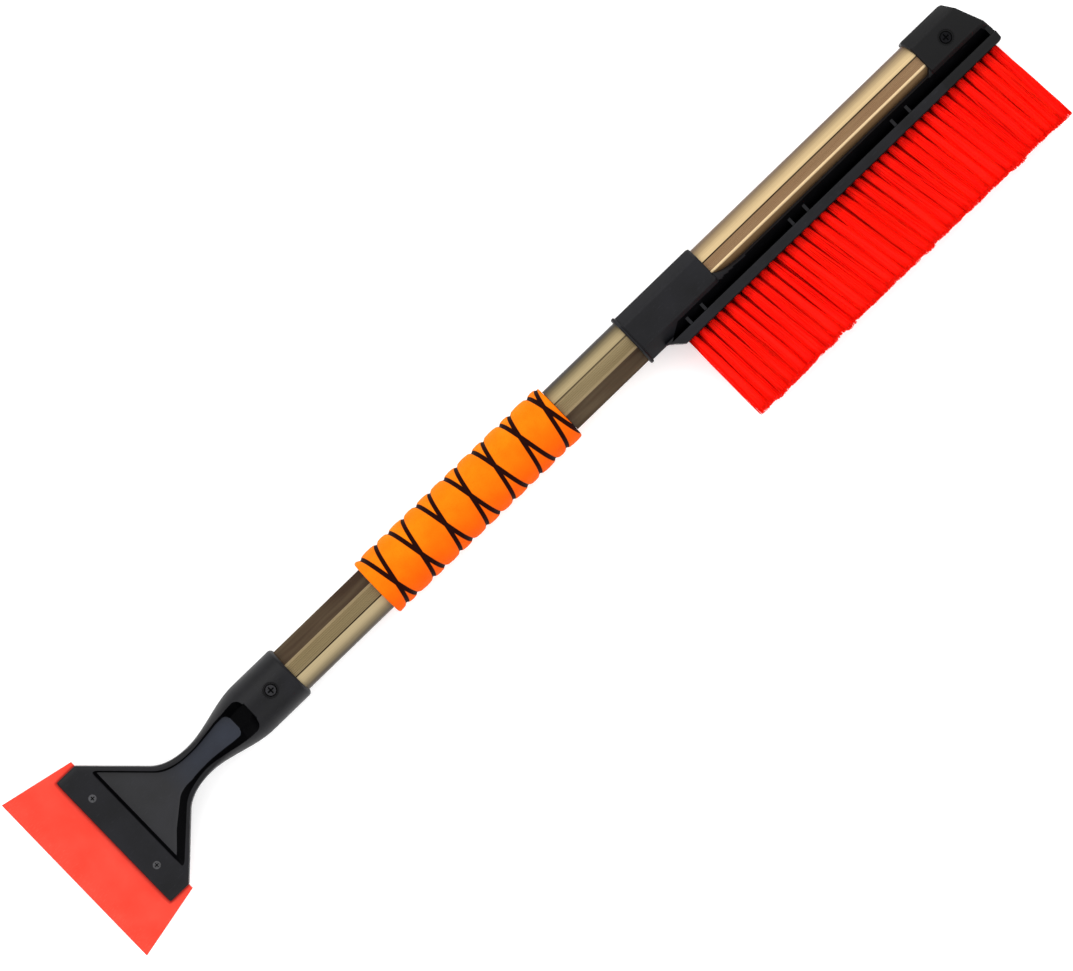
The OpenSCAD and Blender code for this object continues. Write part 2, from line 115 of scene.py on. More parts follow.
def rounded(corners, radius, steps=5):
    """A closed outline whose corners are rounded, each by its own radius or by a shared one."""
    corners = [np.array(c, float) for c in corners]
    radii = radius if hasattr(radius, "__len__") else [radius] * len(corners)
    out = []
    for i, corner in enumerate(corners):
        before, after = corners[i - 1] - corner, corners[(i + 1) % len(corners)] - corner
        for side in (before, after):
            side /= np.linalg.norm(side)
        reach_back = radii[i] / math.tan(math.acos(float(np.clip(before @ after, -1, 1))) / 2)
        out.extend(bezier(corner + before * reach_back, corner, corner + after * reach_back, steps))
    return np.array(out)


def spaced(stops, step):
    """Stations from the first stop to the last, through every stop and at most step apart."""
    stations = [stops[0]]
    for a, b in zip(stops, stops[1:]):
        count = max(1, math.ceil((b - a) / step))
        stations.extend(a + (b - a) * k / count for k in range(1, count + 1))
    return stations


# ---------- meshes ----------


def make_mesh(name, points, faces):
    mesh = bpy.data.meshes.new(name)
    mesh.from_pydata([tuple(map(float, p)) for p in points], [], faces)
    mesh.transform(TO_FRAME)
    mesh.update()
    return mesh


def recalculate(mesh):
    work = bmesh.new()
    work.from_mesh(mesh)
    bmesh.ops.recalc_face_normals(work, faces=work.faces)
    work.to_mesh(mesh)
    work.free()


def smooth(obj, angle=35):
    obj.data.shade_smooth()
    obj.data.set_sharp_from_angle(angle=math.radians(angle))


def make_object(name, points, faces):
    mesh = make_mesh(name, points, faces)
    recalculate(mesh)
    obj = bpy.data.objects.new(name, mesh)
    bpy.context.scene.collection.objects.link(obj)
    return obj


def rings_to_faces(ring_count, ring_size, capped=True):
    """Quads between neighbouring rings of points and, if capped, an n-gon over each end."""
    faces = []
    for i in range(ring_count - 1):
        for j in range(ring_size):
            k = (j + 1) % ring_size
            a, b = i * ring_size, (i + 1) * ring_size
            faces.append((a + j, a + k, b + k, b + j))
    if capped:
        faces.append(tuple(reversed(range(ring_size))))
        faces.append(tuple(range((ring_count - 1) * ring_size, ring_count * ring_size)))
    return faces


def ring_at(x, section):
    """The points of a y-z section at the station x."""
    return np.column_stack([np.full(len(section), x), section])


def loft(name, rings):
    """A closed skin through rings that all have the same number of (x, y, z) points."""
    return make_object(name, np.concatenate(rings), rings_to_faces(len(rings), len(rings[0])))


ROUNDING_TURNS = (0, 22.5, 45, 67.5, 90)


def prism(name, section, x0, x1, round0, round1):
    """A y-z section drawn along x. x0 and x1 are numbers or functions of y, and each end is rounded by
    an (inset, length) pair."""
    section = np.array(section, float)
    inward = -outward(section)
    rings = []
    for end, sign, (inset, length) in ((x0, 1, round0), (x1, -1, round1)):
        station = np.array([end(y) for y in section[:, 0]]) if callable(end) else np.full(len(section), end)
        pair = []
        for turn in ROUNDING_TURNS:
            pulled = inset * (1 - math.sin(math.radians(turn)))
            forward = length * (1 - math.cos(math.radians(turn)))
            pair.append(np.column_stack([station + sign * forward, section + inward * pulled]))
        rings.extend(pair if sign > 0 else reversed(pair))
    return loft(name, rings)


def prism_z(name, outline, z0, z1):
    """An x-y outline drawn along z."""
    points = [(x, y, z) for z in (z0, z1) for x, y in outline]
    return make_object(name, points, rings_to_faces(2, len(outline)))


def outward(outline):
    """Unit normals at the points of a closed outline, pointing out of it."""
    ahead, behind = np.roll(outline, -1, 0), np.roll(outline, 1, 0)
    along = ahead - behind
    normal = np.column_stack([along[:, 1], -along[:, 0]])
    normal /= np.maximum(np.linalg.norm(normal, axis=1), 1e-9)[:, None]
    area = np.sum(outline[:, 0] * ahead[:, 1] - ahead[:, 0] * outline[:, 1])
    return normal if area > 0 else -normal


def circle(radius, count):
    turn = np.arange(count) * 2 * math.pi / count
    return np.column_stack([radius * np.cos(turn), radius * np.sin(turn)])


def peg_x(name, profile, count=96):
    """A solid turned about the x axis from (radius, x) steps."""
    return loft(name, [ring_at(x, circle(radius, count)) for radius, x in profile])


def peg(name, x, y, levels, count=48):
    """A turned peg along z from (radius, z) levels."""
    rings = []
    for radius, z in levels:
        ring = circle(radius, count)
        rings.append(np.column_stack([x + ring[:, 0], y + ring[:, 1], np.full(count, z)]))
    return loft(name, rings)


def block(name, low, high):
    """A box between two opposite corners."""
    xs, ys, zs = zip(low, high)
    section = [(ys[0], zs[0]), (ys[1], zs[0]), (ys[1], zs[1]), (ys[0], zs[1])]
    return loft(name, [[(x, y, z) for y, z in section] for x in xs])


def boolean(obj, others, operation):
    """Joins other closed meshes to obj, or cuts them from it, and removes them."""
    for other in others:
        step = obj.modifiers.new("step", "BOOLEAN")
        step.operation = operation
        step.solver = "EXACT"
        step.object = other
        bpy.context.view_layer.objects.active = obj
        bpy.ops.object.modifier_apply(modifier=step.name)
        bpy.data.objects.remove(other)
    return obj


def islands(work):
    """The separate groups of linked faces in a bmesh."""
    left = set(work.faces)
    while left:
        group, front = set(), [left.pop()]
        while front:
            face = front.pop()
            group.add(face)
            near = {other for edge in face.edges for other in edge.link_faces} & left
            left -= near
            front.extend(near)
        yield group


def tidy(obj, distance=0.004 * MM, least_faces=12):
    """Merges points that almost meet and removes the stray faces that the booleans left."""
    work = bmesh.new()
    work.from_mesh(obj.data)
    bmesh.ops.remove_doubles(work, verts=work.verts, dist=distance)
    bmesh.ops.dissolve_degenerate(work, edges=work.edges, dist=distance)
    for group in list(islands(work)):
        if len(group) < least_faces:
            bmesh.ops.delete(work, geom=list(group), context="FACES")
    bmesh.ops.recalc_face_normals(work, faces=work.faces)
    work.to_mesh(obj.data)
    work.free()
    return obj


def finish_piece(obj, material, body, slot, *nodes):
    """Gives a piece its material, hangs it under its body's empty and hides the CAD nodes it stands for.
    The slot is not used.
    """
    if material:
        obj.data.materials.clear()
        obj.data.materials.append(material)
    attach(obj, body)
    if nodes:
        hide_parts(*nodes)
    return obj


# ---------- materials ----------


SURFACE_LEVEL = 0.76


def srgb(red, green, blue, level=SURFACE_LEVEL):
    """A linear colour from display values of 0 to 255, dimmed by level to suit the bright studio light."""
    def linear(v):
        v /= 255
        return level * (v / 12.92 if v <= 0.04045 else ((v + 0.055) / 1.055) ** 2.4)
    return (linear(red), linear(green), linear(blue), 1.0)


class Look:
    """A node material that is built up from named node kinds."""

    def __init__(self, name, **values):
        self.material = bpy.data.materials.new(name)
        self.material.use_nodes = True
        self.tree = self.material.node_tree
        self.shader = self.tree.nodes["Principled BSDF"]
        for socket, value in values.items():
            self.put(self.shader, socket.replace("_", " "), value)

    def put(self, node, socket, value):
        if isinstance(value, bpy.types.NodeSocket):
            self.tree.links.new(value, node.inputs[socket])
        else:
            node.inputs[socket].default_value = value

    def add(self, kind, inputs=(), output=0, **settings):
        node = self.tree.nodes.new("ShaderNode" + kind)
        for key, value in settings.items():
            setattr(node, key, value)
        for socket, value in dict(inputs).items():
            self.put(node, socket, value)
        return node.outputs[output]

    def place(self):
        """Object coordinates in tool millimetres."""
        here = self.add("TexCoord", output="Object")
        back = self.add("VectorMath", {0: here, 1: tuple(ORIGIN)}, operation="SUBTRACT")
        return self.add("VectorMath", {0: back, "Scale": 1 / MM}, operation="SCALE")

    def stretched(self, scale):
        return self.add("VectorMath", {0: self.place(), 1: scale}, operation="MULTIPLY")

    def axis(self, letter):
        """One of the tool's coordinates, in millimetres."""
        return self.add("SeparateXYZ", {0: self.place()}, output=letter)

    def noise(self, scale, detail=3.0, vector=None):
        vector = self.place() if vector is None else vector
        return self.add("TexNoise", {"Vector": vector, "Scale": scale, "Detail": detail}, output="Fac")

    def ramp(self, value, low, high, out_low=0.0, out_high=1.0):
        return self.add(
            "MapRange",
            {"Value": value, "From Min": low, "From Max": high, "To Min": out_low, "To Max": out_high},
        )

    def maths(self, operation, a, b=0.0):
        return self.add("Math", {0: a, 1: b}, operation=operation)

    def mix(self, factor, a, b):
        node = self.tree.nodes.new("ShaderNodeMix")
        node.data_type = "RGBA"
        self.put(node, 0, factor)
        self.put(node, 6, a)
        self.put(node, 7, b)
        return node.outputs[2]

    def bump(self, height, distance, strength=1.0):
        return self.add("Bump", {"Height": height, "Distance": distance * MM, "Strength": strength})

    def surface(self, **values):
        for socket, value in values.items():
            self.put(self.shader, socket.replace("_", " "), value)
        return self.material


def black_plastic(name, tone=1.0, gloss=0.18, painted_neck_reflection=False, dim_from=None):
    """Moulded black plastic with a fine spark-eroded grain, cloudy gloss and faint scuffs. On request the
    head's neck gets a blue cast, which is a painted reflection. From the station dim_from on, the plastic
    is nearly black."""
    look = Look(name, IOR=1.48, Specular_IOR_Level=gloss)
    grain = look.noise(2.6, 2.0)
    cloud = look.noise(0.05, 4.0)
    scuff = look.ramp(look.noise(1.0, 5.0, look.stretched((0.25, 1.6, 1.6))), 0.62, 0.72)
    dark, pale = srgb(10 * tone, 10 * tone, 13 * tone), srgb(19 * tone, 19 * tone, 24 * tone)
    # The neck's blue cast is a painted reflection on the polished floor, not the plastic's colour.
    if painted_neck_reflection:
        neck = look.ramp(look.axis("X"), SHOULDER_X, WAIST_X)
        dark = look.mix(neck, dark, srgb(18, 24, 38))
        pale = look.mix(neck, pale, srgb(26, 34, 50))
    colour = look.mix(look.ramp(cloud, 0.35, 0.7), dark, pale)
    colour = look.mix(look.maths("MULTIPLY", scuff, 0.2 * tone), colour, srgb(60, 60, 66))
    if dim_from is not None:
        dim = look.ramp(look.axis("X"), dim_from - 1, dim_from + 1, 0.0, 0.9)
        colour = look.mix(dim, colour, srgb(2, 2, 3))
    rough = look.maths("ADD", look.ramp(cloud, 0.3, 0.7, 0.42, 0.54), look.maths("MULTIPLY", scuff, 0.12))
    return look.surface(Base_Color=colour, Roughness=rough, Normal=look.bump(grain, 0.05, 0.5))


WORN_L, SCRATCHED_L = 5, 12


def blade_plastic():
    """Coral plastic with flow marks, scratches across the scraping edge and a deeper red line of painted
    shade at the holder.
    """
    look = Look("coral_blade_plastic", IOR=1.5, Specular_IOR_Level=0.12, Subsurface_Weight=0.08)
    look.surface(Subsurface_Radius=(1.0, 0.25, 0.15), Subsurface_Scale=2 * MM)
    along = look.axis("X")
    wear_and_lit_side = look.ramp(along, WORN_L, 0)
    scratches = look.ramp(look.noise(1.0, 6.0, look.stretched((0.35, 4.5, 1.0))), 0.58, 0.68)
    flow = look.noise(0.06, 3.0)
    colour = look.mix(look.ramp(flow, 0.3, 0.7), srgb(246, 62, 44), srgb(246, 72, 55))
    marks = look.maths("MULTIPLY", scratches, look.ramp(along, SCRATCHED_L, 0, 0.06, 0.4))
    colour = look.mix(marks, colour, srgb(255, 120, 100))
    # A deeper red band just in front of the holder is painted shade, where the holder shades the blade.
    beside = look.maths("ABSOLUTE", look.axis("Y"))
    shade = look.maths(
        "MULTIPLY", look.ramp(along, PLATE_X - 2.0, PLATE_X - 0.2, 0.0, 0.8),
        look.ramp(beside, PLATE_HALF_W + 1.3, PLATE_HALF_W + 0.1),
    )
    colour = look.mix(shade, colour, srgb(150, 6, 6))
    rough = look.maths("ADD", look.ramp(flow, 0.3, 0.7, 0.35, 0.45), look.maths("MULTIPLY", wear_and_lit_side, 0.2))
    return look.surface(Base_Color=colour, Roughness=rough, Normal=look.bump(scratches, 0.04, 0.4))


FLAT_HALF_W, SLIM_FLAT_HALF_W = 4.1, 3.4
# Where the tube's painted tones change, as spans across it: first past the ribbed flat's edge on the round
# side, then past its edge on the facets' side.
GROOVE_START, GROOVE_END, ROUND_FADE = (-0.15, 0.1), (0.55, 0.9), (4.5, 9.0)
BORDER_START, RIBBED_START = (-0.6, -0.3), (0.85, 1.15)


def anodised(name, pale, edge, turned_over=False, slim_from=None):
    """Bronze anodised extrusion with drawn lines along it. Its tones are partly its own two-tone anodising
    and partly painted
    light and shade: pale on the round side fading to a painted dark edge, and dark on the facets. The
    groove beside the ribbed flat is painted shade and the facets' border a painted highlight. From the
    station slim_from on, the tube is drawn down and its tones are painted lighter, as painted light."""
    look = Look(name, Metallic=0.3, Specular_IOR_Level=0.08)
    front = look.maths("SIGN", look.axis("Z"))
    turn = look.maths("MULTIPLY", front, -1.0 if turned_over else 1.0)
    across = look.maths("MULTIPLY", look.axis("Y"), turn)
    drawn = look.noise(1.0, 4.0, look.stretched((0.004, 3.2, 3.2)))
    tone = look.noise(1.0, 2.0, look.stretched((0.012, 0.12, 0.12)))
    pale, edge = srgb(*pale), srgb(*edge)
    dark, ribbed, border_highlight = srgb(52, 33, 14), srgb(130, 114, 82), srgb(152, 134, 100)
    flat = FLAT_HALF_W
    # Past slim_from the tones are painted lighter: painted light on the tube's drawn-down part.
    if slim_from is not None:
        slim = look.ramp(look.axis("X"), slim_from, slim_from + 0.1)
        pale = look.mix(slim, pale, srgb(202, 176, 132))
        ribbed = look.mix(slim, ribbed, srgb(150, 118, 86))
        border_highlight = look.mix(slim, border_highlight, srgb(246, 218, 172))
        dark = look.mix(slim, dark, srgb(140, 108, 74))
        edge = look.mix(slim, edge, srgb(98, 72, 50))
        flat = look.ramp(slim, 0, 1, FLAT_HALF_W, SLIM_FLAT_HALF_W)
    over = look.maths("SUBTRACT", across, flat)
    under = look.maths("ADD", across, flat)
    # The round side fades from pale to a dark edge: painted shade.
    round_side = look.mix(look.ramp(over, *ROUND_FADE), pale, edge)
    # A painted highlight along the facets' border.
    facet_side = look.mix(look.ramp(under, *BORDER_START), dark, border_highlight)
    facet_side = look.mix(look.ramp(under, *RIBBED_START), facet_side, ribbed)
    # The groove beside the ribbed flat is painted dark: painted shade.
    colour = look.mix(look.ramp(over, *GROOVE_START), facet_side, srgb(28, 18, 8))
    colour = look.mix(look.ramp(over, *GROOVE_END), colour, round_side)
    colour = look.mix(look.ramp(drawn, 0.35, 0.65, 0.0, 0.18), colour, srgb(70, 54, 38))
    colour = look.mix(look.ramp(tone, 0.4, 0.7, 0.0, 0.1), colour, srgb(226, 204, 160))
    rough = look.ramp(drawn, 0.3, 0.7, 0.34, 0.5)
    return look.surface(Base_Color=colour, Roughness=rough, Normal=look.bump(drawn, 0.03, 0.4))


SHADED_SIDE_Y, LIT_SIDE_Y = -15, 9


def foam():
    """Closed-cell foam with a skin of fine pores. Its paler side toward +y is painted light, its redder
    side painted shade. The wound grooves are dark.
    """
    look = Look("orange_foam", IOR=1.35, Specular_IOR_Level=0.08)
    groove = look.add("Attribute", output="Fac", attribute_name="groove")
    pores = look.noise(1.6, 4.0)
    cells = look.add("TexVoronoi", {"Vector": look.place(), "Scale": 1.1}, output="Distance")
    cloud = look.noise(0.09, 3.0)
    # The pale and the red colours below are painted light on the upper side and painted shade on the lower
    # side.
    wear_and_lit_side = look.mix(look.ramp(cloud, 0.3, 0.7), srgb(252, 122, 2), srgb(253, 136, 6))
    shaded_side = look.mix(look.ramp(cloud, 0.3, 0.7), srgb(248, 92, 0), srgb(250, 100, 1))
    colour = look.mix(look.ramp(look.axis("Y"), SHADED_SIDE_Y, LIT_SIDE_Y), shaded_side, wear_and_lit_side)
    colour = look.mix(look.ramp(pores, 0.52, 0.75, 0.0, 0.3), colour, srgb(226, 76, 1))
    colour = look.mix(look.ramp(groove, 0.35, 0.75), colour, srgb(34, 5, 2))
    rough = look.ramp(pores, 0.3, 0.7, 0.6, 0.8)
    height = look.maths("ADD", pores, look.maths("MULTIPLY", cells, 0.6))
    return look.surface(Base_Color=colour, Roughness=rough, Normal=look.bump(height, 0.09, 0.5))


ROOT_SHADE_L = 8


def bristle():
    """Red polymer filament that varies a little between filaments and is darker near the strip, partly a
    deeper dye and partly painted shade among the roots.
    """
    look = Look("red_bristle", IOR=1.45, Specular_IOR_Level=0.08, Subsurface_Weight=0.25)
    look.surface(Subsurface_Radius=(1.0, 0.06, 0.03), Subsurface_Scale=3 * MM)
    shade = look.add("Attribute", output="Fac", attribute_name="shade")
    fine = look.noise(1.0, 2.0, look.stretched((3.0, 0.2, 3.0)))
    colour = look.mix(shade, srgb(246, 4, 0, 1), srgb(252, 20, 0, 1))
    colour = look.mix(look.ramp(fine, 0.5, 0.8, 0.0, 0.3), colour, srgb(255, 34, 4, 1))
    # Darkening toward the strip: partly deeper dye, partly painted shade among the roots.
    root_dye_and_shade = look.ramp(look.axis("Y"), STRIP_FACE_Y - ROOT_SHADE_L, STRIP_FACE_Y - 1, 0.0, 0.6)
    colour = look.mix(root_dye_and_shade, colour, srgb(130, 1, 0, 1))
    return look.surface(Base_Color=colour, Roughness=look.ramp(fine, 0.3, 0.7, 0.45, 0.6))


def steel(name, tone, top):
    """Plated steel with turning marks and dull spots. Below the height top, a recess is painted dark as
    painted shade.
    """
    look = Look(name, Metallic=1.0)
    marks = look.noise(7.0, 3.0)
    spots = look.noise(1.2, 4.0)
    bright, dull = srgb(tone, tone, tone + 3), srgb(tone * 0.8, tone * 0.8, tone * 0.8)
    colour = look.mix(look.ramp(spots, 0.4, 0.7), bright, dull)
    # Painted shade in the recess below the head's top.
    recess_shade = look.ramp(look.axis("Z"), top - 0.12, top - 0.2)
    colour = look.mix(recess_shade, colour, srgb(9, 9, 10))
    return look.surface(
        Base_Color=colour,
        Roughness=look.ramp(marks, 0.3, 0.7, 0.3, 0.5),
        Normal=look.bump(marks, 0.02, 0.3),
    )


# ---------- scraper head ----------

SHOULDER_X, SHOULDER_HALF_W = PLATE_X + 43.0, 16.4
PLATE_SIDE_X = PLATE_X + 13.7
WAIST_X, WAIST_HALF_W = PLATE_X + 65, 9.5
BARREL_X = PLATE_X + 106
PLATE_HALF_T = 6.3
BLADE_HALF_T = size("scraper_blade").z / 2
PANEL_X, PANEL_FLOOR_Z = PLATE_X + 18, 3.6
FLOOR_RISE, RECESS_END_Z = 2.5, 10.0
PANEL_FLOOR_END_X, PANEL_END_X = PLATE_X + 93, PLATE_X + 104
TUBE_SEAT_X = PLATE_X + 107.5

NECK_CURVE = bezier(
    (SHOULDER_X, SHOULDER_HALF_W), (SHOULDER_X + 7.2, WAIST_HALF_W + 0.1), (WAIST_X, WAIST_HALF_W), 24
)
ELLIPSE, SQUAREST = 2, 10


def head_half_w(x):
    """Half the head's width at the station x."""
    if x <= PLATE_SIDE_X:
        return PLATE_HALF_W
    if x <= SHOULDER_X:
        share = (x - PLATE_SIDE_X) / (SHOULDER_X - PLATE_SIDE_X)
        return PLATE_HALF_W + (SHOULDER_HALF_W - PLATE_HALF_W) * share
    if x <= WAIST_X:
        return float(np.interp(x, NECK_CURVE[:, 0], NECK_CURVE[:, 1]))
    return float(WAIST_HALF_W + (SOCKET_R - WAIST_HALF_W) * ease(x, WAIST_X, BARREL_X))


def head_half_t(x):
    """Half the head's thickness at the station x."""
    return float(PLATE_HALF_T + (SOCKET_R - PLATE_HALF_T) * ease(x, SHOULDER_X, BARREL_X))


def head_exponent(x):
    """How square the head's section is at x, as the exponent of a superellipse."""
    return float(ELLIPSE + (SQUAREST - ELLIPSE) * (1 - ease(x, SHOULDER_X - 6, WAIST_X + 22)))


# The sunken panel's edges at stations from the plate's front: the rim's and the wall's width on the
# upper side, then both on the lower side.
PANEL_STATIONS = np.array([
    (18.5, 3.4, 1.4, 3.6, 6.0),
    (30, 3.4, 1.4, 3.2, 7.2),
    (44.5, 3.4, 1.4, 2.8, 5.4),
    (55, 3.2, 1.0, 2.7, 2.6),
    (65, 2.9, 0.9, 3.1, 1.9),
    (75, 3.1, 1.1, 3.1, 2.7),
    (85, 4.0, 1.3, 3.5, 3.6),
    (92, 5.4, 1.6, 4.1, 4.4),
    (104, 6.8, 1.6, 5.9, 5.0),
])
PANEL_CORNER, FLOOR_CORNER, RECESS_CORNER = 3.4, 3.2, 4.6
PANEL_WALL_L, RECESS_WALL_L = 1.9, 0.9
# Material indices of the head: plain black, near-black painted shade on the panel's walls, and polished
# black.
PLAIN, PAINTED_SHADE, POLISHED = 0, 1, 2
WALL_SHARES = (0.12, 0.5, 0.88)


def pulled_in(distance, radius):
    """How far a rounded corner pulls an edge in, at a distance from where the corner starts."""
    share = 1 - min(max(distance / radius, 0.0), 1.0)
    return radius * (1 - math.sqrt(1 - share * share))


def panel_edges(x):
    """The panel's rim and floor edges at the station x: (rim, floor) on the upper side, then the lower."""
    at = min(max(x, PANEL_X), PANEL_END_X)
    out = []
    for sign, column in ((1, 1), (-1, 3)):
        rim_w, wall_w = (np.interp(at - PLATE_X, PANEL_STATIONS[:, 0], PANEL_STATIONS[:, c])
                         for c in (column, column + 1))
        rim = head_half_w(at) - rim_w
        floor = rim - wall_w
        rim -= pulled_in(at - PANEL_X, PANEL_CORNER) + pulled_in(PANEL_END_X - at, RECESS_CORNER)
        floor -= pulled_in(at - PANEL_X, PANEL_CORNER) + pulled_in(PANEL_FLOOR_END_X - at, FLOOR_CORNER)
        out.append((sign * rim, sign * floor))
    return out


def head_profile(x):
    """The upper face of the head's section at x, as (y, z, finish and shade) from the +y side to the -y
    side.
    Each point's finish and shade holds for the face from it to the next point: plain, near-black painted
    shade on the panel's walls, or polished on its floor."""
    w, t, n = head_half_w(x), head_half_t(x), head_exponent(x)
    (rim_up, floor_up), (rim_low, floor_low) = panel_edges(x)
    sunk = float(np.clip((x - PANEL_X) / PANEL_WALL_L, 0, 1))
    climb = max(0.0, x - PANEL_FLOOR_END_X) / (PANEL_END_X - PANEL_FLOOR_END_X)
    floor_z = PANEL_FLOOR_Z + FLOOR_RISE * ease(x, SHOULDER_X, PANEL_FLOOR_END_X)
    floor_z += (RECESS_END_Z - floor_z) * climb
    if x > PANEL_END_X:
        sunk = float(np.clip(1 - (x - PANEL_END_X) / RECESS_WALL_L, 0, 1))
    # The panel's walls get the near-black painted shade.
    wall = PAINTED_SHADE if 0 < sunk and x <= PANEL_END_X else PLAIN
    floor_finish_and_shade = POLISHED if sunk == 1 and climb == 0 else wall

    def skin(y):
        return t * (1 - min(1.0, abs(y) / w) ** n) ** (1 / n)

    def lowered(y, z):
        return min(skin(y), skin(y) + (z - skin(y)) * sunk)

    def side(sign, rim):
        start = math.acos(min(1.0, abs(rim) / w) ** (n / 2))
        for share in np.linspace(0, 1, 15) ** 1.15:
            turn = start * (1 - share)
            yield sign * w * math.cos(turn) ** (2 / n), t * math.sin(turn) ** (2 / n)

    def slope(rim, floor, shares):
        for share in shares:
            y = rim + (floor - rim) * share
            yield y, lowered(y, skin(rim) + (floor_z - skin(rim)) * share)

    upper_side = list(side(1, rim_up))[::-1]
    floor_ys = [floor_up + (floor_low - floor_up) * share for share in np.linspace(0, 1, 13)]
    floor = [(y, lowered(y, floor_z)) for y in floor_ys]
    runs = [
        (upper_side[:-1], PLAIN),
        (upper_side[-1:], wall),
        (slope(rim_up, floor_up, WALL_SHARES), wall),
        (floor[:-1], floor_finish_and_shade),
        (floor[-1:], wall),
        (slope(rim_low, floor_low, WALL_SHARES[::-1]), wall),
        (side(-1, rim_low), PLAIN),
    ]
    return [(y, z, finish_and_shade) for points, finish_and_shade in runs for y, z in points]


def full_ring(profile):
    """A whole section ring from its upper face: the lower face is its mirror image."""
    upper = [(y, z) for y, z, _ in profile]
    return np.array(upper + [(y, -z) for y, z in upper[-2:0:-1]])


# The head's stations, as (stops, longest step) runs that are finer at the panel's ends.
FRONT_X = PLATE_X + 1.2
HEAD_RUNS = [
    ([FRONT_X, PLATE_SIDE_X, PANEL_X - 0.05], 1.5),
    ([PANEL_X + 0.3, PANEL_X + PANEL_WALL_L + 0.02, PANEL_X + 3.6], 0.4),
    ([PANEL_X + 4.5, SHOULDER_X, PANEL_FLOOR_END_X - 3.4], 1.2),
    ([PANEL_FLOOR_END_X - 3, PANEL_FLOOR_END_X - 0.02], 0.35),
    ([PANEL_FLOOR_END_X + 0.3, PANEL_END_X - 1.5], 0.5),
    ([PANEL_END_X - 1.4, PANEL_END_X - 0.01], 0.12),
    ([PANEL_END_X + 0.3, PANEL_END_X + 0.6, PANEL_END_X + 0.92], 0.5),
    ([PANEL_END_X + 2, SOCKET_X - 2.2], 1.5),
]
# The rounded edges of the plate's front and the socket's mouth, as (pulled in, back from the end).
PLATE_EDGE = ((1.0, 0.0), (0.45, 0.15), (0.12, 0.5))
SOCKET_LIP = ((0.1, 1.5), (0.4, 0.9), (0.9, 0.4), (1.5, 0.0))


def head_rings():
    """Rings of points from the plate's front to the bore's floor, each with its upper face's finishes and
    painted shade.
    """
    front = head_profile(FRONT_X)
    plain = [PLAIN] * len(front)
    rings = []
    for inset, back in PLATE_EDGE:
        scale = np.array([1 - inset / PLATE_HALF_W, 1 - inset / PLATE_HALF_T])
        rings.append((ring_at(PLATE_X + back, full_ring(front) * scale), plain))
    for stops, step in HEAD_RUNS:
        for x in spaced(stops, step):
            profile = head_profile(x)
            rings.append((ring_at(x, full_ring(profile)), [finish_and_shade for _, _, finish_and_shade in profile]))
    last = rings[-1][0][:, 1:]
    around = last / np.linalg.norm(last, axis=1)[:, None]
    mouth = [(SOCKET_R - inset, SOCKET_X - back) for inset, back in SOCKET_LIP]
    mouth += [(BORE_R + 0.3, SOCKET_X), (BORE_R, SOCKET_X - 0.4), (BORE_R, TUBE_SEAT_X)]
    rings += [(ring_at(x, around * radius), plain) for radius, x in mouth]
    return rings


def paint_head(head, finishes_and_shades, whole):
    """Gives each quad between two rings of whole points its material: plain, painted shade or polished. The
    lower face mirrors the upper.
    """
    for face in head.data.polygons:
        places = [v % whole for v in face.vertices]
        if len(places) != 4 or max(places) - min(places) > whole / 2:
            continue
        first = min(places)
        first = first if first < whole // 2 else whole - 1 - first
        face.material_index = finishes_and_shades[min(face.vertices) // whole][first]


BLADE_HOLE_R, BLADE_SINK_R, BLADE_SINK_DEPTH = 1.35, 2.32, 1.45
TUBE_HOLE_R, TUBE_SINK_R = 2.05, 4.65
SOCKET_SINK_Z, CAP_SINK_Z = 15.1, 14.3


def tube_screw_hole(x, sink_z):
    """The cutter for a screw into the tube: its shank's hole, and the sink of its head down to sink_z."""
    return peg("hole", x, 0, [
        (TUBE_HOLE_R, 5), (TUBE_HOLE_R, sink_z + 0.02), (TUBE_SINK_R, sink_z), (TUBE_SINK_R, 20),
    ])


def make_scraper_head():
    rings = head_rings()
    head = loft("scraper_head_moulding", [points for points, _ in rings])
    # The second material is near-black painted shade; the third is polished, with a painted reflection at
    # the neck.
    for material in (BLACK, SHADOWED, POLISHED_BLACK):
        head.data.materials.append(material)
    paint_head(head, [finishes_and_shades for _, finishes_and_shades in rings], len(rings[0][0]))
    blade_hole = [
        (BLADE_HOLE_R, -4.0), (BLADE_HOLE_R, PLATE_HALF_T - BLADE_SINK_DEPTH),
        (BLADE_SINK_R, PLATE_HALF_T + 0.02), (BLADE_SINK_R, PLATE_HALF_T + 2),
    ]
    cutters = [blade_solid("slot", GAP)]
    cutters += [peg("hole", BLADE_SCREW_X, side * BLADE_SCREW_Y, blade_hole) for side in (-1, 1)]
    cutters.append(tube_screw_hole(SOCKET_SCREW_X, SOCKET_SINK_Z))
    boolean(head, cutters, "DIFFERENCE")
    tidy(head)
    smooth(head, 32)
    return finish_piece(head, None, SCRAPER, "black_plastic", "scraper_head")


# ---------- scraper blade ----------

BLADE_HALF_W = size("scraper_blade").y / 2
BLADE_BACK_X, BLADE_BACK_HALF_W = PLATE_X + 13.6, 48.0
TONGUE_X, TONGUE_HALF_W = PLATE_X + 22, PLATE_HALF_W - 10
BEVEL_L, EDGE_T = 8.0, 1.0
BLADE_ROUNDING = 0.35


def blade_solid(name, grow=0.0):
    """The blade's plain shape, larger all round by grow. A tongue at its back fills the plate's slot."""
    half = [
        (0 - grow, BLADE_HALF_W), (BLADE_BACK_X + grow, BLADE_BACK_HALF_W + grow),
        (BLADE_BACK_X + grow, TONGUE_HALF_W + grow), (TONGUE_X + grow, TONGUE_HALF_W + grow),
    ]
    t = BLADE_HALF_T + grow
    return prism_z(name, half + [(x, -y) for x, y in reversed(half)], -t, t)


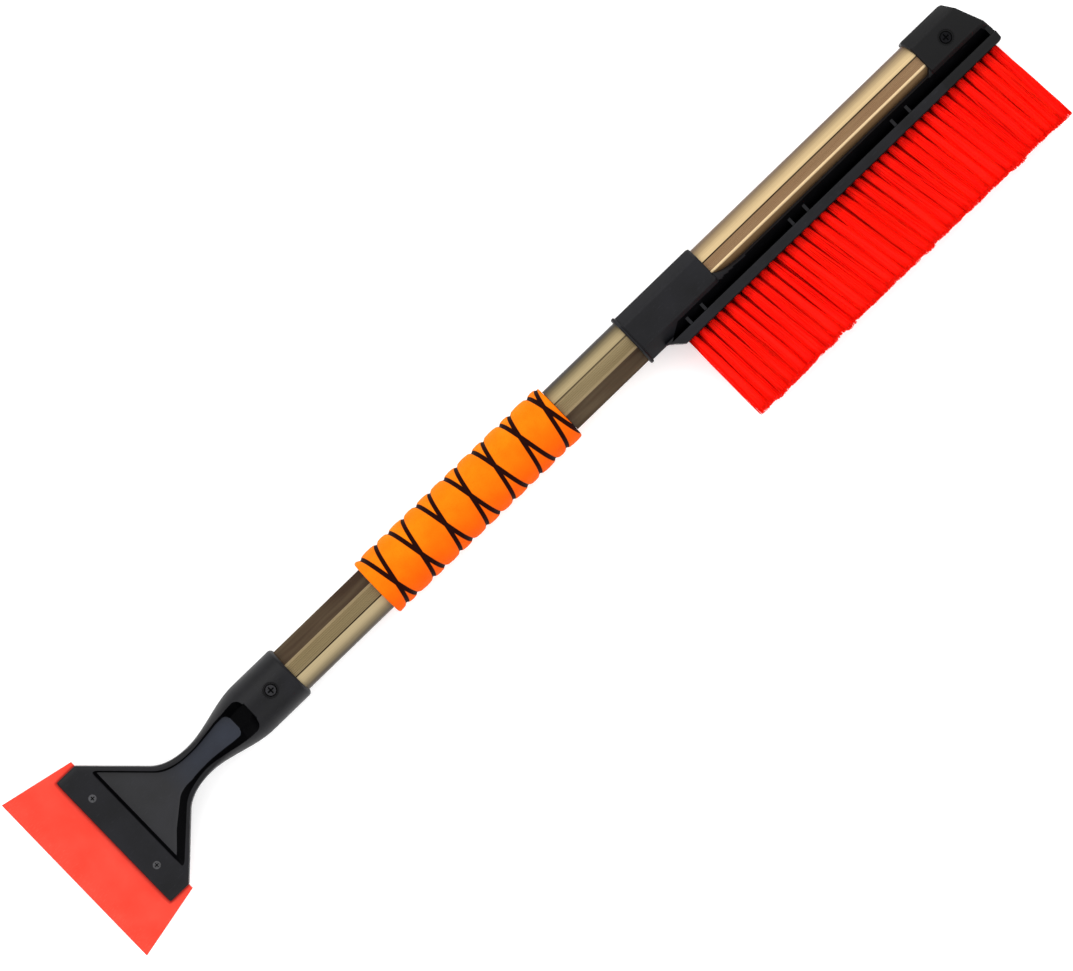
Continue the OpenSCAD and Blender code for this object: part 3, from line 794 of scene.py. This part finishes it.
def thin_edge(blade):
    """Slopes the blade's back face up to a thinner scraping edge."""
    work = bmesh.new()
    work.from_mesh(blade.data)
    everything = [*work.verts, *work.edges, *work.faces]
    cut = TO_FRAME @ Vector((BEVEL_L, 0, 0))
    bmesh.ops.bisect_plane(work, geom=everything, plane_co=cut, plane_no=(1, 0, 0))
    edge_x = (TO_FRAME @ Vector((0.01, 0, 0))).x
    for v in work.verts:
        if v.co.x < edge_x and v.co.z < ORIGIN.z:
            v.co.z = ORIGIN.z + (BLADE_HALF_T - EDGE_T) * MM
    work.to_mesh(blade.data)
    work.free()


def make_blade():
    blade = blade_solid("scraper_blade_plastic")
    thin_edge(blade)
    hole = [(BLADE_HOLE_R, -4), (BLADE_HOLE_R, 4)]
    holes = [peg("hole", BLADE_SCREW_X, side * BLADE_SCREW_Y, hole) for side in (-1, 1)]
    boolean(blade, holes, "DIFFERENCE")
    bevel = blade.modifiers.new("edges", "BEVEL")
    bevel.width = BLADE_ROUNDING * MM
    bevel.segments = 3
    bevel.limit_method = "ANGLE"
    bevel.angle_limit = math.radians(25)
    smooth(blade, 40)
    return finish_piece(blade, blade_plastic(), SCRAPER, "blade_plastic", "scraper_blade")


# ---------- foam grip ----------

CROSSINGS = 7
CROSSING_PITCH = 20.7
FIRST_CROSSING = GRIP_X + 10.4
CROSSING_TURN = (-19.0, 24.0)
LINE_HALF_W, LINE_FADE = 1.3, 0.7
GROOVE_HALF_W, GROOVE_DEPTH = LINE_HALF_W * 1.7, 1.1
BULGE_L, BULGE_DEPTH = 3.6, 0.45
GRIP_EDGE, GRIP_EDGE_DEPTH = 1.4, 1.12
GRIP_RINGS, GRIP_COLUMNS = 420, 288
FAR_OFF = 9.0


def angle_gap(a, b):
    """The signed angle from b to a, the shorter way round."""
    return (a - b + math.pi) % (2 * math.pi) - math.pi


def groove_distance(x, turn):
    """How far each point of the sleeve is from the nearest of its two opposite wound grooves."""
    share = (x - FIRST_CROSSING) / (CROSSING_PITCH * (CROSSINGS - 1))
    centre = np.radians(CROSSING_TURN[0] + (CROSSING_TURN[1] - CROSSING_TURN[0]) * share)
    advance = 2 * math.pi * (x - FIRST_CROSSING) / CROSSING_PITCH
    slant = math.cos(math.atan(CROSSING_PITCH / (2 * math.pi * GRIP_R)))
    nearest = np.full((len(x), turn.shape[1]), FAR_OFF)
    for way in (1, -1):
        gap = np.abs(angle_gap(turn, centre + way * advance)) / (2 * math.pi) * CROSSING_PITCH * slant
        nearest = np.minimum(nearest, gap)
    return nearest


def make_grip():
    """A foam sleeve wound with two opposite dark grooves, which cross once a turn at the front."""
    x = np.linspace(GRIP_X, JOINT_X, GRIP_RINGS)[:, None]
    turn = (np.arange(GRIP_COLUMNS) * 2 * math.pi / GRIP_COLUMNS)[None, :]
    nearest = groove_distance(x, turn)
    groove = ease(nearest, GROOVE_HALF_W, 0)
    bulge = 1 - np.exp(-((nearest / BULGE_L) ** 2))
    radius = GRIP_R - BULGE_DEPTH * (1 - bulge) - (GROOVE_DEPTH - BULGE_DEPTH * 0.3) * groove
    from_end = np.minimum(x - GRIP_X, JOINT_X - x)
    edge = np.sqrt(np.clip(1 - np.clip(1 - from_end / GRIP_EDGE, 0, 1) ** 2, 0, 1))
    radius = radius - GRIP_EDGE_DEPTH * (1 - edge)
    y, z = radius * np.sin(turn), radius * np.cos(turn)
    skin = np.stack([np.broadcast_to(x, y.shape), y, z], -1).reshape(-1, 3)
    bore_section = BORE_R * np.column_stack([np.sin(turn[0]), np.cos(turn[0])])
    bore = [ring_at(end, bore_section) for end in (JOINT_X, GRIP_X)]
    faces = rings_to_faces(GRIP_RINGS + 2, GRIP_COLUMNS, capped=False)
    last = (GRIP_RINGS + 1) * GRIP_COLUMNS
    for j in range(GRIP_COLUMNS):
        k = (j + 1) % GRIP_COLUMNS
        faces.append((last + j, last + k, k, j))
    grip = make_object("foam_grip_sleeve", np.concatenate([skin, *bore]), faces)
    inked = np.clip((LINE_HALF_W + LINE_FADE / 2 - nearest) / LINE_FADE, 0, 1).reshape(-1)
    attribute = grip.data.attributes.new("groove", "FLOAT", "POINT")
    everywhere = np.concatenate([inked, np.zeros(2 * GRIP_COLUMNS)])
    attribute.data.foreach_set("value", everywhere.astype(np.float32))
    smooth(grip, 60)
    finish_piece(grip, foam(), SCRAPER, "grip_foam", "foam_grip")
    return grip


# ---------- brush head ----------

COLLAR_R = 15.3
FLAT_TOP, FLAT_LOW = 8.7, -7.5
CRADLE_T = 1.7
CRADLE_TOP_Y, STRIP_TOP_Y, STRIP_FACE_Y = -9.7, -15.9, -22.0
CRADLE_STEPS, CRADLE_BITE, CRADLE_LIP = 40, 0.9, 0.6
LIP_RISE, LIP_FALL_L = 5.0, 6.0
CAP_RISE_L, CAP_RISE_SLOPE = 2.4, 1.1
RIB_PAIRS, RIB_GAP, RIB_PAIR_PITCH = 3, 10.9, 77.6
FIRST_RIB_X, RIB_HALF_T, RIB_HALF_W = COLLAR_X + 30.6, 0.9, 10.9
END_WALL_HALF_W = 11.6
STRIP_X = COLLAR_X + 15.1
STRIP_HALF_W = 12.0
WEB_HALF_T = 3.5
CHANNEL_END_X = TOOL_X - 3.8
CAP_SLANT_X = TOOL_X - 9.9


def block_section(out=0.0):
    """Section of the collar and the cap: a square with bevelled corners, rounded a little."""
    r, top, low = COLLAR_R + out, FLAT_TOP + out, FLAT_LOW - out
    corners = [(r, -top), (r, top), (top, r), (low, r), (-r, -low), (-r, low), (low, -r), (top, -r)]
    return rounded(corners, 1.6, 4)


def cap_end(y):
    """The cap's slanted end: its last x at the height y."""
    outline = np.concatenate([
        bezier((STRIP_FACE_Y, TOOL_X - 2.6), (STRIP_FACE_Y, TOOL_X), (STRIP_FACE_Y + 3, TOOL_X), 6),
        bezier((-14, TOOL_X), (-11.8, TOOL_X), (-9.5, TOOL_X - 0.8), 5),
        bezier((12.6, CAP_SLANT_X + 0.4), (14.9, CAP_SLANT_X - 0.5), (COLLAR_R, CAP_SLANT_X - 3), 6),
    ])
    return float(np.interp(y, outline[:, 0], outline[:, 1]))


def cap_start(y):
    """The cap's mouth: its first x at the height y, which reaches further along the tube at the sides."""
    return CAP_X + 0.5 - 1.4 * min(1.0, max(0.0, abs(y) - 6) / 8) ** 2


def strip_start(y):
    """The bristle strip's slanted start: its first x at the height y."""
    return STRIP_X - 0.4 + 6.4 * max(0.0, min(1.0, (STRIP_TOP_Y - y) / (STRIP_TOP_Y - STRIP_FACE_Y)))


def lip_rise(x):
    """How much further the trough's lips reach up the tube at x, beside the collar and the cap."""
    if x < WINDOW_X or x > CAP_X + 0.5:
        return 0.0
    if x > CAP_X - CAP_RISE_L:
        return CAP_RISE_SLOPE * (x - CAP_X + CAP_RISE_L)
    return LIP_RISE * math.exp(-(x - WINDOW_X) / LIP_FALL_L)


def make_cradle():
    """The thin trough under the tube, whose lips rise into the collar and the cap."""
    inner, outer = SLIM_TUBE_R - CRADLE_BITE, TUBE_R + CRADLE_T
    stations = spaced([STRIP_X, WINDOW_X - 0.9], 60) + spaced([WINDOW_X + 0.1, WINDOW_X + 20], 1.2)
    stations += spaced([CAP_X - 5.3, CAP_X + 1.2], 0.9) + [CHANNEL_END_X + 1.3]
    rings = []
    for x in stations:
        lip = math.acos(-(CRADLE_TOP_Y + CRADLE_LIP + lip_rise(x)) / outer)
        turns = np.linspace(-lip, lip, CRADLE_STEPS + 1)
        section = [(-outer * math.cos(a), outer * math.sin(a)) for a in turns]
        section += [(-inner * math.cos(a), inner * math.sin(a)) for a in turns[::-1]]
        rings.append(ring_at(x, section))
    return loft("cradle", rings)


def make_gusset():
    """The block under the collar from which the bristle strip starts."""
    edge = bezier((STRIP_X - 2.6, -15.3), (STRIP_X - 0.9, -15.4), (STRIP_X + 1.4, -18), 5)
    outline = [(STRIP_X - 3, -14.4), *edge, (STRIP_X + 4, -18), (STRIP_X + 4, -14.4)]
    return prism_z("gusset", outline, -STRIP_HALF_W + 0.6, STRIP_HALF_W - 0.6)


def make_channel():
    """The cutter that clears the space below the trough, for the strip and the web to be put in."""
    far = STRIP_FACE_Y - 9
    outline = [
        (STRIP_X + 0.8, far), (STRIP_X + 0.8, STRIP_TOP_Y + 0.1), (STRIP_X + 10.5, CRADLE_TOP_Y),
        (CHANNEL_END_X - 1.1, CRADLE_TOP_Y), (CHANNEL_END_X + 1, STRIP_TOP_Y), (CHANNEL_END_X + 1, far),
    ]
    return prism_z("channel", outline, -30, 30)


def make_strip():
    low, top, half = STRIP_FACE_Y, STRIP_TOP_Y, STRIP_HALF_W
    section = rounded([(top, -half), (top, half), (low, half), (low, -half)], [0.8, 0.8, 1.3, 1.3], 4)
    return prism("strip", section, strip_start, cap_end, (0.5, 0.5), (0.6, 0.6))


def make_web():
    low = (STRIP_X + 0.3, STRIP_TOP_Y - 1, -WEB_HALF_T)
    high = (CHANNEL_END_X + 2, CRADLE_TOP_Y - 1, WEB_HALF_T)
    return block("web", low, high)


def make_end_wall():
    low, top, half = STRIP_TOP_Y - 2, -8, END_WALL_HALF_W
    section = rounded([(low, -half), (top, -half), (top, half), (low, half)], 0.5, 3)
    return prism("end_wall", section, CHANNEL_END_X, lambda y: cap_end(y) - 0.2, (0.3, 0.3), (0.3, 0.3))


def make_rib(x):
    low = (x - RIB_HALF_T, STRIP_TOP_Y - 0.5, -RIB_HALF_W)
    high = (x + RIB_HALF_T, CRADLE_TOP_Y - 1.2, RIB_HALF_W)
    return block("rib", low, high)


def make_bore():
    """The cutter for the tube's bore, which is narrower where the tube is drawn down."""
    return peg_x("bore", [
        (BORE_R, COLLAR_X - 5), (BORE_R, SLIM_X), (SLIM_BORE_R, SLIM_X + 0.1), (SLIM_BORE_R, TOOL_X - 13.5),
    ])


def make_brush_head():
    """The collar, the trough, the bristle strip and the cap, joined into one moulding."""
    head = prism("brush_head_moulding", block_section(), COLLAR_X + 0.6, WINDOW_X, (0.3, 0.3), (1.1, 2.6))
    lip = prism("lip", block_section(1.1), COLLAR_X, COLLAR_X + 1.9, (1.0, 0.9), (1.0, 0.9))
    cap = prism("cap", block_section(), cap_start, cap_end, (1.1, 1.4), (1.0, 1.0))
    boolean(head, [lip, cap, make_gusset()], "UNION")
    boolean(head, [make_channel()], "DIFFERENCE")
    pairs = [FIRST_RIB_X + pair * RIB_PAIR_PITCH for pair in range(RIB_PAIRS)]
    ribs = [make_rib(x + offset) for x in pairs for offset in (0, RIB_GAP)]
    boolean(head, [make_cradle(), make_strip(), make_web(), make_end_wall(), *ribs], "UNION")
    boolean(head, [make_bore(), tube_screw_hole(CAP_SCREW_X, CAP_SINK_Z)], "DIFFERENCE")
    tidy(head)
    # The second material, for the channels beside the web, is near-black painted shade.
    head.data.materials.append(BRUSH_BLACK)
    head.data.materials.append(SHADOWED)
    shadow_channel(head)
    smooth(head, 32)
    return finish_piece(head, None, BRUSH, "black_plastic", "brush_head")


def shadow_channel(head):
    """Gives the faces inside the two channels beside the web the near-black painted shade that stands in
    for the deep shade there.
    """
    to_tool = TO_FRAME.inverted()
    for face in head.data.polygons:
        x, y, z = to_tool @ face.center
        inside = STRIP_TOP_Y - 0.05 < y < CRADLE_TOP_Y + 0.4 and STRIP_X < x < CHANNEL_END_X + 1.2
        rib = abs(abs(z) - RIB_HALF_W) < 0.2 and abs(face.normal.z) > 0.9
        trough = math.hypot(y, z) < TUBE_R + CRADLE_T + 0.1
        web = abs(z) <= WEB_HALF_T + 0.05
        if inside and not rib and (trough or web or abs(face.normal.x) > 0.6):
            if abs(z) < STRIP_HALF_W + 1:
                face.material_index = PAINTED_SHADE


# ---------- bristles ----------

TUFTS, FILAMENTS = 36, 54
FIRST_TUFT_X, LAST_TUFT_X = COLLAR_X + 25.6, TOOL_X - 7.6
TUFT_PITCH = (LAST_TUFT_X - FIRST_TUFT_X) / (TUFTS - 1)
BRISTLE_L = 55.9
SPLAY_TUFT, SPLAY_L, SPLAY_SPREAD = 3, 1.3, 2.5
END_LEAN, MIDDLE_LEAN = 2.0, 9.0
ROW_COUNT, ROW_PITCH = 4, 6.0
ROOT_L = 0.6
FILAMENT_R, FILAMENT_SIDES, FILAMENT_STEPS = 0.34, 3, 6
CORE_SHARE, CORE_SHORT, CORE_SIDES, CORE_STEPS = 0.8, 2.6, 14, 8
BASE_R, TIP_R_X, TIP_R_Z = 2.35, 4.2, 2.7
TIP_CLEARANCE = 3.5
BRISTLE_SEED = 7


def tuft_lean(i):
    """How far the tuft's tip leans along the tool: most in the middle of a row."""
    return END_LEAN + (MIDDLE_LEAN - END_LEAN) * math.sin(math.pi * i / (TUFTS - 1)) ** 0.8


def make_filament(rng, base, tip):
    """Rings of one filament: it leaves the strip straight and bows gently to its tip."""
    base, tip = np.array(base), np.array(tip)
    bow = np.array([rng.gauss(0, 0.7), 0, rng.gauss(0, 0.6)])
    wave, phase = rng.uniform(0.05, 0.22), rng.uniform(0, 6.28)
    start = rng.uniform(0, 2.09)
    rings = []
    for k in range(FILAMENT_STEPS + 1):
        s = k / FILAMENT_STEPS
        x, y, z = base + (tip - base) * s + bow * 2 * s * (1 - s)
        x += wave * math.sin(phase + 9 * s)
        z += wave * math.cos(phase + 8 * s)
        radius = FILAMENT_R * (1 - 0.45 * s ** 4)
        for j in range(FILAMENT_SIDES):
            turn = start + 2 * math.pi * j / FILAMENT_SIDES
            rings.append((x + radius * math.cos(turn), y, z + radius * math.sin(turn)))
    return rings


def make_core(base, tip, turn):
    """Rings of the closely packed middle of a tuft, which bows a little and widens toward its tip."""
    base, tip = np.array(base), np.array(tip)
    bow = np.array([0.5, 0, 0.4]) * math.sin(turn)
    rings = []
    for k in range(CORE_STEPS + 1):
        s = k / CORE_STEPS
        x, y, z = base + (tip - base) * s + bow * 4 * s * (1 - s)
        half_x = CORE_SHARE * (BASE_R + (TIP_R_X - BASE_R) * s)
        half_z = CORE_SHARE * (BASE_R + (TIP_R_Z - BASE_R) * s)
        for j in range(CORE_SIDES):
            a = turn + 2 * math.pi * j / CORE_SIDES
            flute = 1 - 0.1 * (j % 2)
            rings.append((x + flute * half_x * math.cos(a), y, z + flute * half_z * math.sin(a)))
    return rings


class Row:
    """The points, faces and shades of one row's strands."""

    def __init__(self):
        self.points, self.faces, self.shades = [], [], []

    def grow(self, rings, ring_size, shade):
        """Adds a closed strand from the points of its rings."""
        first = len(self.points)
        strand = rings_to_faces(len(rings) // ring_size, ring_size)
        self.points.extend(rings)
        self.faces.extend(tuple(first + v for v in face) for face in strand)
        self.shades.extend([shade] * len(rings))


def add_tuft(row, rng, i, z0, fan):
    """Adds tuft i of a row at the depth z0: a packed core with loose filaments in and around it."""
    x0, root_y = FIRST_TUFT_X + i * TUFT_PITCH, STRIP_FACE_Y + ROOT_L
    lean = tuft_lean(i) + rng.gauss(0, 0.25)
    splay = SPLAY_L * math.exp(-((i - SPLAY_TUFT) / SPLAY_SPREAD) ** 2)
    length = BRISTLE_L + rng.gauss(-0.2, 0.45) + splay
    shade = rng.uniform(-0.12, 0.12)
    core_tip = (x0 + lean * (1 - CORE_SHORT / length), STRIP_FACE_Y - length + CORE_SHORT, z0 + fan)
    row.grow(make_core((x0, root_y, z0), core_tip, 6.28 * rng.random()), CORE_SIDES, 0.35 + shade)
    for _ in range(FILAMENTS):
        turn, out = rng.uniform(0, 2 * math.pi), math.sqrt(rng.random())
        dx, dz = out * math.cos(turn), out * math.sin(turn)
        base = (x0 + BASE_R * dx, root_y, z0 + BASE_R * dz)
        tip_y = STRIP_FACE_Y - length + 0.7 * out * out + abs(rng.gauss(0, 0.35))
        tip_x = x0 + lean + TIP_R_X * dx + rng.gauss(0, 0.25)
        tip_z = z0 + fan + TIP_R_Z * dz + rng.gauss(0, 0.2)
        filament = make_filament(rng, base, (tip_x, tip_y, tip_z))
        tone = min(1.0, max(0.0, 0.55 + shade + rng.gauss(0, 0.2)))
        row.grow(filament, FILAMENT_SIDES, tone)


def make_bristle_row(number):
    """One row of tufts. Rows are staggered by half a pitch, and the outer ones fan out."""
    rng = random.Random(BRISTLE_SEED + number)
    z0 = (number - (ROW_COUNT - 1) / 2) * ROW_PITCH
    outer_z = (ROW_COUNT - 1) / 2 * ROW_PITCH
    fan = (GRIP_R - TIP_CLEARANCE - outer_z) * z0 / outer_z
    shift = (ROW_COUNT - 1 - number) % 2 / 2
    row = Row()
    for i in np.arange(shift, TUFTS - shift):
        add_tuft(row, rng, i, z0, fan)
    bristles = make_object(f"bristles_{number + 1}", row.points, row.faces)
    attribute = bristles.data.attributes.new("shade", "FLOAT", "POINT")
    attribute.data.foreach_set("value", np.array(row.shades, np.float32))
    bristles.data.shade_smooth()
    return finish_piece(bristles, RED, BRUSH, "bristle", f"bristle_row_{number + 1}")


# ---------- carried-over nodes ----------


def dress(node, material):
    """Gives a CAD node its material."""
    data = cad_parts[node].data
    data.materials.clear()
    data.materials.append(material)


STEEL_TONES = {
    "blade_screw_left": 92, "blade_screw_right": 92, "socket_screw": 62, "cap_screw": 30,
    "coupler_pin": 150, "snap_spring": 190, "snap_button": 190,
}


def dress_nodes():
    # The brush tube is painted darker than the scraper tube to offset the key light on it: painted shade.
    dress("scraper_tube", anodised("bronze_tube_lower", (186, 168, 130), (30, 18, 8), turned_over=True))
    dress("brush_tube", anodised("bronze_tube_upper", (154, 138, 102), (22, 12, 5), slim_from=SLIM_X))
    for node in ("scraper_plug", "brush_plug", "coupler_spigot"):
        dress(node, INNER)
    for node, tone in STEEL_TONES.items():
        top = (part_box(node)[1].z - ORIGIN.z) / MM
        dress(node, steel(node + "_steel", tone, top))


# ---------- stage ----------

DOME_STRENGTH = 2.0
CAMERA_TURN = math.radians(44.05)
CAMERA_CENTRE = (332.4, -20.5)
CAMERA_SPAN = 586.5
CAMERA_PLANE_Z = 8.0
LENS, SENSOR = 200.0, 36.0
FLOOR_HALF_W, FLOOR_DROP = 6.0, 0.0005
DOME_STOPS = [(0.0, 0.12), (0.3, 0.3), (0.5, 0.95), (0.86, 0.95), (0.97, 0.45)]


def make_stage():
    floor_mesh = bpy.data.meshes.new("floor")
    h = FLOOR_HALF_W
    floor_mesh.from_pydata([(-h, -h, 0), (h, -h, 0), (h, h, 0), (-h, h, 0)], [], [(0, 1, 2, 3)])
    floor = bpy.data.objects.new("floor", floor_mesh)
    floor.location.z = -FLOOR_DROP
    bpy.context.scene.collection.objects.link(floor)
    look = Look("pale_floor", Roughness=0.9, Specular_IOR_Level=0.1)
    mottle = look.noise(0.01, 2.0)
    look.surface(Base_Color=look.mix(mottle, (0.86, 0.86, 0.86, 1), (0.9, 0.9, 0.9, 1)))
    look.surface(Emission_Color=(1, 1, 1, 1), Emission_Strength=0.25)
    floor_mesh.materials.append(look.material)


def make_world():
    """An even studio dome: a dim top, a bright ring around it and a dark horizon."""
    world = bpy.data.worlds.new("studio")
    bpy.context.scene.world = world
    world.use_nodes = True
    tree = world.node_tree
    back = tree.nodes["Background"]
    coordinates = tree.nodes.new("ShaderNodeTexCoord")
    split = tree.nodes.new("ShaderNodeSeparateXYZ")
    ramp = tree.nodes.new("ShaderNodeValToRGB")
    tree.links.new(coordinates.outputs["Generated"], split.inputs[0])
    tree.links.new(split.outputs["Z"], ramp.inputs[0])
    tree.links.new(ramp.outputs[0], back.inputs[0])
    for element in list(ramp.color_ramp.elements)[1:]:
        ramp.color_ramp.elements.remove(element)
    for i, (place, level) in enumerate(DOME_STOPS):
        element = ramp.color_ramp.elements[0] if i == 0 else ramp.color_ramp.elements.new(place)
        element.position = place
        element.color = (level, level, level, 1)
    back.inputs[1].default_value = DOME_STRENGTH


def add_light(name, place, aim, width, power):
    data = bpy.data.lights.new(name, "AREA")
    data.shape = "SQUARE"
    data.size = width
    data.energy = power
    light = bpy.data.objects.new(name, data)
    light.location = place
    light.rotation_euler = (Vector(aim) - Vector(place)).to_track_quat("-Z", "Y").to_euler()
    light.visible_camera = False
    bpy.context.scene.collection.objects.link(light)


def make_camera():
    """A long lens straight above the tool, turned so that the tool lies along a diagonal."""
    data = bpy.data.cameras.new("camera")
    data.lens, data.sensor_width = LENS, SENSOR
    camera = bpy.data.objects.new("camera", data)
    aim = TO_FRAME @ Vector((*CAMERA_CENTRE, CAMERA_PLANE_Z))
    distance = CAMERA_SPAN * MM * LENS / SENSOR
    camera.location = aim + Vector((0, 0, distance))
    camera.rotation_euler = (0, 0, -CAMERA_TURN)
    data.clip_start, data.clip_end = 0.05, 20
    bpy.context.scene.collection.objects.link(camera)
    bpy.context.scene.camera = camera


make_camera()
make_world()
make_stage()
add_light("key", (0.1, 1.9, 1.9), (0, 0, 0), 2.2, 22)
bpy.context.scene.view_settings.view_transform = "Standard"
bpy.context.scene.view_settings.look = "None"

BLACK = black_plastic("black_moulding")
BRUSH_BLACK = black_plastic("black_moulding_brush", dim_from=CAP_X)
INNER = black_plastic("black_insert")
# Near-black painted shade for the panel's walls and the brush head's channels.
SHADOWED = black_plastic("black_moulding_painted_shade", 0.3, gloss=0.02)
# Polished black for the panel's floor; its blue neck is a painted reflection.
POLISHED_BLACK = black_plastic("black_moulding_polished_painted_reflection", 1.1, gloss=0.34, painted_neck_reflection=True)
RED = bristle()
dress_nodes()
make_scraper_head()
make_blade()
make_grip()
make_brush_head()
for row_number in range(ROW_COUNT):
    make_bristle_row(row_number)
